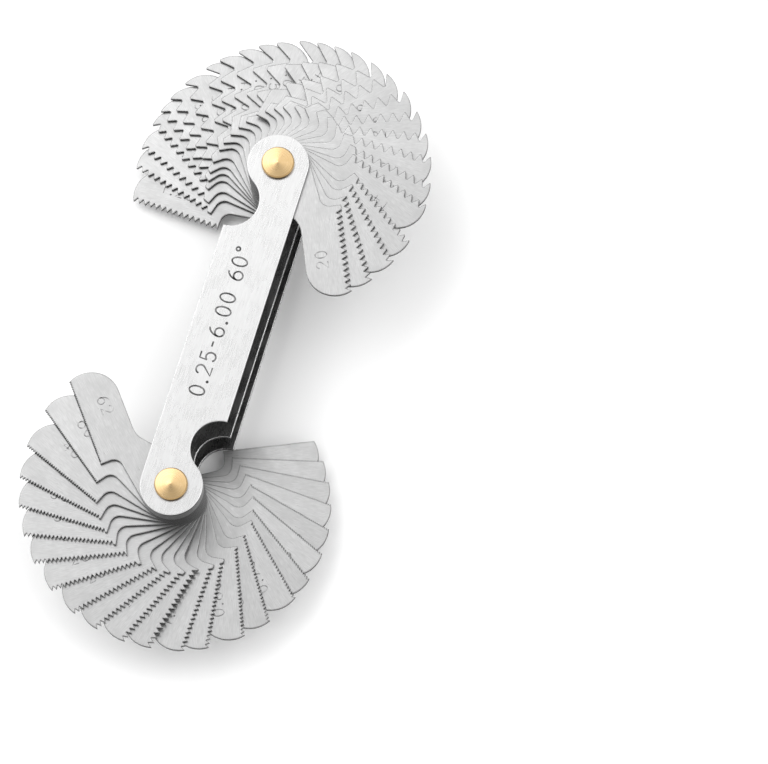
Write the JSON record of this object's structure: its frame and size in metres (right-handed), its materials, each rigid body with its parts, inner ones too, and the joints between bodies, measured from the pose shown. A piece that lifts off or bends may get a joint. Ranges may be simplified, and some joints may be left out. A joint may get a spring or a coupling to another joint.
{
  "type": "thread pitch gauge",
  "caption": "Folding thread pitch gauge: toothed steel leaves fan out on a brass rivet at each end of a flat three-plate case, to be held against a screw thread.",
  "frame": {"origin": "on the lower rivet's axis, at the flat outer face of its rear head", "axes": "+Y along the case from the lower rivet to the upper one; +Z through the stack from the rear plate to the front plate, so the gauge lies on its rear heads; +X to the right seen from the front"},
  "size_m": [0.063, 0.135, 0.0222],
  "materials": {
    "leaf_steel": "satin",
    "plate_steel": "satin",
    "washer_steel": "satin",
    "rivet_brass": "turned"
  },
  "bodies": {
    "case": {"rear_plate": "plate_steel", "middle_plate": "plate_steel", "front_plate": "plate_steel", "lower_rivet": "rivet_brass", "upper_rivet": "rivet_brass", "spacer_washers": "washer_steel"},
    "leaf_62_tpi": {"leaf_62_tpi": "leaf_steel"},
    "leaf_60_tpi": {"leaf_60_tpi": "leaf_steel"},
    "leaf_48_tpi": {"leaf_48_tpi": "leaf_steel"},
    "leaf_40_tpi": {"leaf_40_tpi": "leaf_steel"},
    "leaf_36_tpi": {"leaf_36_tpi": "leaf_steel"},
    "leaf_32_tpi": {"leaf_32_tpi": "leaf_steel"},
    "leaf_30_tpi": {"leaf_30_tpi": "leaf_steel"},
    "leaf_28_tpi": {"leaf_28_tpi": "leaf_steel"},
    "leaf_26_tpi": {"leaf_26_tpi": "leaf_steel"},
    "leaf_25_tpi": {"leaf_25_tpi": "leaf_steel"},
    "leaf_24_tpi": {"leaf_24_tpi": "leaf_steel"},
    "leaf_22_tpi": {"leaf_22_tpi": "leaf_steel"},
    "leaf_1_00_mm": {"leaf_1_00_mm": "leaf_steel"},
    "leaf_0_90_mm": {"leaf_0_90_mm": "leaf_steel"},
    "leaf_0_80_mm": {"leaf_0_80_mm": "leaf_steel"},
    "leaf_0_75_mm": {"leaf_0_75_mm": "leaf_steel"},
    "leaf_0_70_mm": {"leaf_0_70_mm": "leaf_steel"},
    "leaf_0_60_mm": {"leaf_0_60_mm": "leaf_steel"},
    "leaf_0_50_mm": {"leaf_0_50_mm": "leaf_steel"},
    "leaf_0_45_mm": {"leaf_0_45_mm": "leaf_steel"},
    "leaf_0_40_mm": {"leaf_0_40_mm": "leaf_steel"},
    "leaf_0_35_mm": {"leaf_0_35_mm": "leaf_steel"},
    "leaf_0_30_mm": {"leaf_0_30_mm": "leaf_steel"},
    "leaf_0_25_mm": {"leaf_0_25_mm": "leaf_steel"},
    "leaf_20_tpi": {"leaf_20_tpi": "leaf_steel"},
    "leaf_19_tpi": {"leaf_19_tpi": "leaf_steel"},
    "leaf_18_tpi": {"leaf_18_tpi": "leaf_steel"},
    "leaf_16_tpi": {"leaf_16_tpi": "leaf_steel"},
    "leaf_14_tpi": {"leaf_14_tpi": "leaf_steel"},
    "leaf_13_tpi": {"leaf_13_tpi": "leaf_steel"},
    "leaf_12_tpi": {"leaf_12_tpi": "leaf_steel"},
    "leaf_11_tpi": {"leaf_11_tpi": "leaf_steel"},
    "leaf_10_tpi": {"leaf_10_tpi": "leaf_steel"},
    "leaf_9_tpi": {"leaf_9_tpi": "leaf_steel"},
    "leaf_8_tpi": {"leaf_8_tpi": "leaf_steel"},
    "leaf_7_tpi": {"leaf_7_tpi": "leaf_steel"},
    "leaf_6_tpi": {"leaf_6_tpi": "leaf_steel"},
    "leaf_5_tpi": {"leaf_5_tpi": "leaf_steel"},
    "leaf_4_5_tpi": {"leaf_4_5_tpi": "leaf_steel"},
    "leaf_4_tpi": {"leaf_4_tpi": "leaf_steel"},
    "leaf_6_00_mm": {"leaf_6_00_mm": "leaf_steel"},
    "leaf_5_50_mm": {"leaf_5_50_mm": "leaf_steel"},
    "leaf_5_00_mm": {"leaf_5_00_mm": "leaf_steel"},
    "leaf_4_50_mm": {"leaf_4_50_mm": "leaf_steel"},
    "leaf_4_00_mm": {"leaf_4_00_mm": "leaf_steel"},
    "leaf_3_50_mm": {"leaf_3_50_mm": "leaf_steel"},
    "leaf_3_00_mm": {"leaf_3_00_mm": "leaf_steel"},
    "leaf_2_50_mm": {"leaf_2_50_mm": "leaf_steel"},
    "leaf_2_00_mm": {"leaf_2_00_mm": "leaf_steel"},
    "leaf_1_75_mm": {"leaf_1_75_mm": "leaf_steel"},
    "leaf_1_50_mm": {"leaf_1_50_mm": "leaf_steel"},
    "leaf_1_25_mm": {"leaf_1_25_mm": "leaf_steel"}
  },
  "joints": [
    {"name": "leaf_62_tpi_swing", "type": "hinge", "parent": "case", "child": "leaf_62_tpi", "pos_m": [0, 0, 0.0176], "axis": [0, 0, 1], "range_deg": [-60, 300]},
    {"name": "leaf_60_tpi_swing", "type": "hinge", "parent": "case", "child": "leaf_60_tpi", "pos_m": [0, 0, 0.01696], "axis": [0, 0, 1], "range_deg": [-74, 286]},
    {"name": "leaf_48_tpi_swing", "type": "hinge", "parent": "case", "child": "leaf_48_tpi", "pos_m": [0, 0, 0.01632], "axis": [0, 0, 1], "range_deg": [-89, 271]},
    {"name": "leaf_40_tpi_swing", "type": "hinge", "parent": "case", "child": "leaf_40_tpi", "pos_m": [0, 0, 0.01568], "axis": [0, 0, 1], "range_deg": [-101, 259]},
    {"name": "leaf_36_tpi_swing", "type": "hinge", "parent": "case", "child": "leaf_36_tpi", "pos_m": [0, 0, 0.01504], "axis": [0, 0, 1], "range_deg": [-112, 248]},
    {"name": "leaf_32_tpi_swing", "type": "hinge", "parent": "case", "child": "leaf_32_tpi", "pos_m": [0, 0, 0.0144], "axis": [0, 0, 1], "range_deg": [-123, 237]},
    {"name": "leaf_30_tpi_swing", "type": "hinge", "parent": "case", "child": "leaf_30_tpi", "pos_m": [0, 0, 0.01376], "axis": [0, 0, 1], "range_deg": [-134, 226]},
    {"name": "leaf_28_tpi_swing", "type": "hinge", "parent": "case", "child": "leaf_28_tpi", "pos_m": [0, 0, 0.01312], "axis": [0, 0, 1], "range_deg": [-146, 214]},
    {"name": "leaf_26_tpi_swing", "type": "hinge", "parent": "case", "child": "leaf_26_tpi", "pos_m": [0, 0, 0.01248], "axis": [0, 0, 1], "range_deg": [-158, 202]},
    {"name": "leaf_25_tpi_swing", "type": "hinge", "parent": "case", "child": "leaf_25_tpi", "pos_m": [0, 0, 0.01184], "axis": [0, 0, 1], "range_deg": [-168, 192]},
    {"name": "leaf_24_tpi_swing", "type": "hinge", "parent": "case", "child": "leaf_24_tpi", "pos_m": [0, 0, 0.0112], "axis": [0, 0, 1], "range_deg": [-179, 181]},
    {"name": "leaf_22_tpi_swing", "type": "hinge", "parent": "case", "child": "leaf_22_tpi", "pos_m": [0, 0, 0.01056], "axis": [0, 0, 1], "range_deg": [-189, 171]},
    {"name": "leaf_1_00_mm_swing", "type": "hinge", "parent": "case", "child": "leaf_1_00_mm", "pos_m": [0, 0, 0.00908], "axis": [0, 0, 1], "range_deg": [-201, 159]},
    {"name": "leaf_0_90_mm_swing", "type": "hinge", "parent": "case", "child": "leaf_0_90_mm", "pos_m": [0, 0, 0.00844], "axis": [0, 0, 1], "range_deg": [-210, 150]},
    {"name": "leaf_0_80_mm_swing", "type": "hinge", "parent": "case", "child": "leaf_0_80_mm", "pos_m": [0, 0, 0.0078], "axis": [0, 0, 1], "range_deg": [-224, 136]},
    {"name": "leaf_0_75_mm_swing", "type": "hinge", "parent": "case", "child": "leaf_0_75_mm", "pos_m": [0, 0, 0.00716], "axis": [0, 0, 1], "range_deg": [-235, 125]},
    {"name": "leaf_0_70_mm_swing", "type": "hinge", "parent": "case", "child": "leaf_0_70_mm", "pos_m": [0, 0, 0.00652], "axis": [0, 0, 1], "range_deg": [-248, 112]},
    {"name": "leaf_0_60_mm_swing", "type": "hinge", "parent": "case", "child": "leaf_0_60_mm", "pos_m": [0, 0, 0.00588], "axis": [0, 0, 1], "range_deg": [-257, 103]},
    {"name": "leaf_0_50_mm_swing", "type": "hinge", "parent": "case", "child": "leaf_0_50_mm", "pos_m": [0, 0, 0.00524], "axis": [0, 0, 1], "range_deg": [-268, 92]},
    {"name": "leaf_0_45_mm_swing", "type": "hinge", "parent": "case", "child": "leaf_0_45_mm", "pos_m": [0, 0, 0.0046], "axis": [0, 0, 1], "range_deg": [-278, 82]},
    {"name": "leaf_0_40_mm_swing", "type": "hinge", "parent": "case", "child": "leaf_0_40_mm", "pos_m": [0, 0, 0.00396], "axis": [0, 0, 1], "range_deg": [-288, 72]},
    {"name": "leaf_0_35_mm_swing", "type": "hinge", "parent": "case", "child": "leaf_0_35_mm", "pos_m": [0, 0, 0.00332], "axis": [0, 0, 1], "range_deg": [-297, 63]},
    {"name": "leaf_0_30_mm_swing", "type": "hinge", "parent": "case", "child": "leaf_0_30_mm", "pos_m": [0, 0, 0.00268], "axis": [0, 0, 1], "range_deg": [-306, 54]},
    {"name": "leaf_0_25_mm_swing", "type": "hinge", "parent": "case", "child": "leaf_0_25_mm", "pos_m": [0, 0, 0.00204], "axis": [0, 0, 1], "range_deg": [-315, 45]},
    {"name": "leaf_20_tpi_swing", "type": "hinge", "parent": "case", "child": "leaf_20_tpi", "pos_m": [0, 0.072, 0.02016], "axis": [0, 0, 1], "range_deg": [-46, 314]},
    {"name": "leaf_19_tpi_swing", "type": "hinge", "parent": "case", "child": "leaf_19_tpi", "pos_m": [0, 0.072, 0.01952], "axis": [0, 0, 1], "range_deg": [-55, 305]},
    {"name": "leaf_18_tpi_swing", "type": "hinge", "parent": "case", "child": "leaf_18_tpi", "pos_m": [0, 0.072, 0.01888], "axis": [0, 0, 1], "range_deg": [-66, 294]},
    {"name": "leaf_16_tpi_swing", "type": "hinge", "parent": "case", "child": "leaf_16_tpi", "pos_m": [0, 0.072, 0.01824], "axis": [0, 0, 1], "range_deg": [-76, 284]},
    {"name": "leaf_14_tpi_swing", "type": "hinge", "parent": "case", "child": "leaf_14_tpi", "pos_m": [0, 0.072, 0.0176], "axis": [0, 0, 1], "range_deg": [-92, 268]},
    {"name": "leaf_13_tpi_swing", "type": "hinge", "parent": "case", "child": "leaf_13_tpi", "pos_m": [0, 0.072, 0.01696], "axis": [0, 0, 1], "range_deg": [-101, 259]},
    {"name": "leaf_12_tpi_swing", "type": "hinge", "parent": "case", "child": "leaf_12_tpi", "pos_m": [0, 0.072, 0.01632], "axis": [0, 0, 1], "range_deg": [-112, 248]},
    {"name": "leaf_11_tpi_swing", "type": "hinge", "parent": "case", "child": "leaf_11_tpi", "pos_m": [0, 0.072, 0.01568], "axis": [0, 0, 1], "range_deg": [-122, 238]},
    {"name": "leaf_10_tpi_swing", "type": "hinge", "parent": "case", "child": "leaf_10_tpi", "pos_m": [0, 0.072, 0.01504], "axis": [0, 0, 1], "range_deg": [-132, 228]},
    {"name": "leaf_9_tpi_swing", "type": "hinge", "parent": "case", "child": "leaf_9_tpi", "pos_m": [0, 0.072, 0.0144], "axis": [0, 0, 1], "range_deg": [-142, 218]},
    {"name": "leaf_8_tpi_swing", "type": "hinge", "parent": "case", "child": "leaf_8_tpi", "pos_m": [0, 0.072, 0.01376], "axis": [0, 0, 1], "range_deg": [-152, 208]},
    {"name": "leaf_7_tpi_swing", "type": "hinge", "parent": "case", "child": "leaf_7_tpi", "pos_m": [0, 0.072, 0.01312], "axis": [0, 0, 1], "range_deg": [-160, 200]},
    {"name": "leaf_6_tpi_swing", "type": "hinge", "parent": "case", "child": "leaf_6_tpi", "pos_m": [0, 0.072, 0.01248], "axis": [0, 0, 1], "range_deg": [-169, 191]},
    {"name": "leaf_5_tpi_swing", "type": "hinge", "parent": "case", "child": "leaf_5_tpi", "pos_m": [0, 0.072, 0.01184], "axis": [0, 0, 1], "range_deg": [-176, 184]},
    {"name": "leaf_4_5_tpi_swing", "type": "hinge", "parent": "case", "child": "leaf_4_5_tpi", "pos_m": [0, 0.072, 0.0112], "axis": [0, 0, 1], "range_deg": [-183, 177]},
    {"name": "leaf_4_tpi_swing", "type": "hinge", "parent": "case", "child": "leaf_4_tpi", "pos_m": [0, 0.072, 0.01056], "axis": [0, 0, 1], "range_deg": [-190, 170]},
    {"name": "leaf_6_00_mm_swing", "type": "hinge", "parent": "case", "child": "leaf_6_00_mm", "pos_m": [0, 0.072, 0.00908], "axis": [0, 0, 1], "range_deg": [-199, 161]},
    {"name": "leaf_5_50_mm_swing", "type": "hinge", "parent": "case", "child": "leaf_5_50_mm", "pos_m": [0, 0.072, 0.00844], "axis": [0, 0, 1], "range_deg": [-206, 154]},
    {"name": "leaf_5_00_mm_swing", "type": "hinge", "parent": "case", "child": "leaf_5_00_mm", "pos_m": [0, 0.072, 0.0078], "axis": [0, 0, 1], "range_deg": [-214, 146]},
    {"name": "leaf_4_50_mm_swing", "type": "hinge", "parent": "case", "child": "leaf_4_50_mm", "pos_m": [0, 0.072, 0.00716], "axis": [0, 0, 1], "range_deg": [-222, 138]},
    {"name": "leaf_4_00_mm_swing", "type": "hinge", "parent": "case", "child": "leaf_4_00_mm", "pos_m": [0, 0.072, 0.00652], "axis": [0, 0, 1], "range_deg": [-228, 132]},
    {"name": "leaf_3_50_mm_swing", "type": "hinge", "parent": "case", "child": "leaf_3_50_mm", "pos_m": [0, 0.072, 0.00588], "axis": [0, 0, 1], "range_deg": [-238, 122]},
    {"name": "leaf_3_00_mm_swing", "type": "hinge", "parent": "case", "child": "leaf_3_00_mm", "pos_m": [0, 0.072, 0.00524], "axis": [0, 0, 1], "range_deg": [-246, 114]},
    {"name": "leaf_2_50_mm_swing", "type": "hinge", "parent": "case", "child": "leaf_2_50_mm", "pos_m": [0, 0.072, 0.0046], "axis": [0, 0, 1], "range_deg": [-252, 108]},
    {"name": "leaf_2_00_mm_swing", "type": "hinge", "parent": "case", "child": "leaf_2_00_mm", "pos_m": [0, 0.072, 0.00396], "axis": [0, 0, 1], "range_deg": [-258, 102]},
    {"name": "leaf_1_75_mm_swing", "type": "hinge", "parent": "case", "child": "leaf_1_75_mm", "pos_m": [0, 0.072, 0.00332], "axis": [0, 0, 1], "range_deg": [-268, 92]},
    {"name": "leaf_1_50_mm_swing", "type": "hinge", "parent": "case", "child": "leaf_1_50_mm", "pos_m": [0, 0.072, 0.00268], "axis": [0, 0, 1], "range_deg": [-276, 84]},
    {"name": "leaf_1_25_mm_swing", "type": "hinge", "parent": "case", "child": "leaf_1_25_mm", "pos_m": [0, 0.072, 0.00204], "axis": [0, 0, 1], "range_deg": [-289, 71]}
  ]
}
